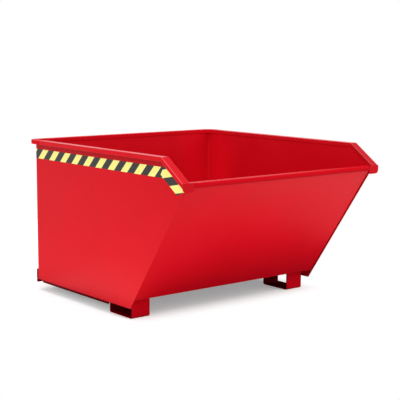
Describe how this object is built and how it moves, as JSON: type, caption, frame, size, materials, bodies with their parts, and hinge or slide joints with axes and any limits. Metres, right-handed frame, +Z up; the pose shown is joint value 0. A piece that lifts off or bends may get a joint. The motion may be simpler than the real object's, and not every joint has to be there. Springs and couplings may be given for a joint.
{
  "type": "tipping hopper",
  "caption": "Low sheet-steel hopper with a sloping front and a tube rim, carried in fork pockets, that tips forward on a shaft when its latch is released.",
  "frame": {"origin": "centre of the footprint, on the ground", "axes": "+X to the right when looking from the front towards the back, +Y to the back, where the forks enter, -Y to the sloping front, +Z up"},
  "size_m": [1.168, 1.34, 0.756],
  "materials": {
    "red_coating": "satin powder coat",
    "hazard_film": "black and yellow stripes",
    "zinc_plate": "zinc plated",
    "bright_steel": "drawn",
    "bronze": "turned",
    "black_rubber": "moulded"
  },
  "bodies": {
    "base": {"rear_plate": "red_coating", "centre_cross_tube": "red_coating", "pivot_shaft": "bright_steel", "rest_pads": "black_rubber", "catch_ears": "red_coating", "catch_bar": "zinc_plate", "left_fork_pocket": "red_coating", "left_fork_stop": "red_coating", "left_side_rail": "red_coating", "left_cross_tube": "red_coating", "left_inner_pivot_bracket": "red_coating", "left_outer_pivot_bracket": "red_coating", "left_shaft_collar": "zinc_plate", "right_fork_pocket": "red_coating", "right_fork_stop": "red_coating", "right_side_rail": "red_coating", "right_cross_tube": "red_coating", "right_inner_pivot_bracket": "red_coating", "right_outer_pivot_bracket": "red_coating", "right_shaft_collar": "zinc_plate"},
    "trough": {"left_side_panel": "red_coating", "right_side_panel": "red_coating", "back_panel": "red_coating", "floor_plate": "red_coating", "front_panel": "red_coating", "back_rim": "red_coating", "front_lip": "red_coating", "floor_stiffener": "red_coating", "latch_backing_plate": "red_coating", "latch_ears": "red_coating", "latch_bolt": "zinc_plate", "latch_nut": "zinc_plate", "latch_washers": "zinc_plate", "left_side_rim": "red_coating", "left_slope_rim": "red_coating", "left_rim_end_plate": "red_coating", "left_hazard_strip": "hazard_film", "left_slope_hazard_strip": "hazard_film", "left_front_foot": "red_coating", "left_hinge_doubler": "red_coating", "left_hinge_lug": "red_coating", "left_hinge_bush": "bronze", "right_side_rim": "red_coating", "right_slope_rim": "red_coating", "right_rim_end_plate": "red_coating", "right_hazard_strip": "hazard_film", "right_slope_hazard_strip": "hazard_film", "right_front_foot": "red_coating", "right_hinge_doubler": "red_coating", "right_hinge_lug": "red_coating", "right_hinge_bush": "bronze"},
    "latch": {"latch_lever": "zinc_plate", "latch_handle_bar": "zinc_plate", "left_latch_grip": "black_rubber", "right_latch_grip": "black_rubber"},
    "left_pin": {"left_heel_pin": "zinc_plate"},
    "right_pin": {"right_heel_pin": "zinc_plate"}
  },
  "joints": [
    {"name": "trough_tip", "type": "hinge", "parent": "base", "child": "trough", "pos_m": [0, 0.01, 0.066], "axis": [1, 0, 0], "range_deg": [0, 90]},
    {"name": "latch_release", "type": "hinge", "parent": "trough", "child": "latch", "pos_m": [0, 0.582, 0.33], "axis": [1, 0, 0], "range_deg": [0, 15]},
    {"name": "left_pin_pull", "type": "slide", "parent": "base", "child": "left_pin", "axis": [-1, 0, 0], "range_m": [0, 0.19]},
    {"name": "right_pin_pull", "type": "slide", "parent": "base", "child": "right_pin", "axis": [1, 0, 0], "range_m": [0, 0.19]}
  ]
}
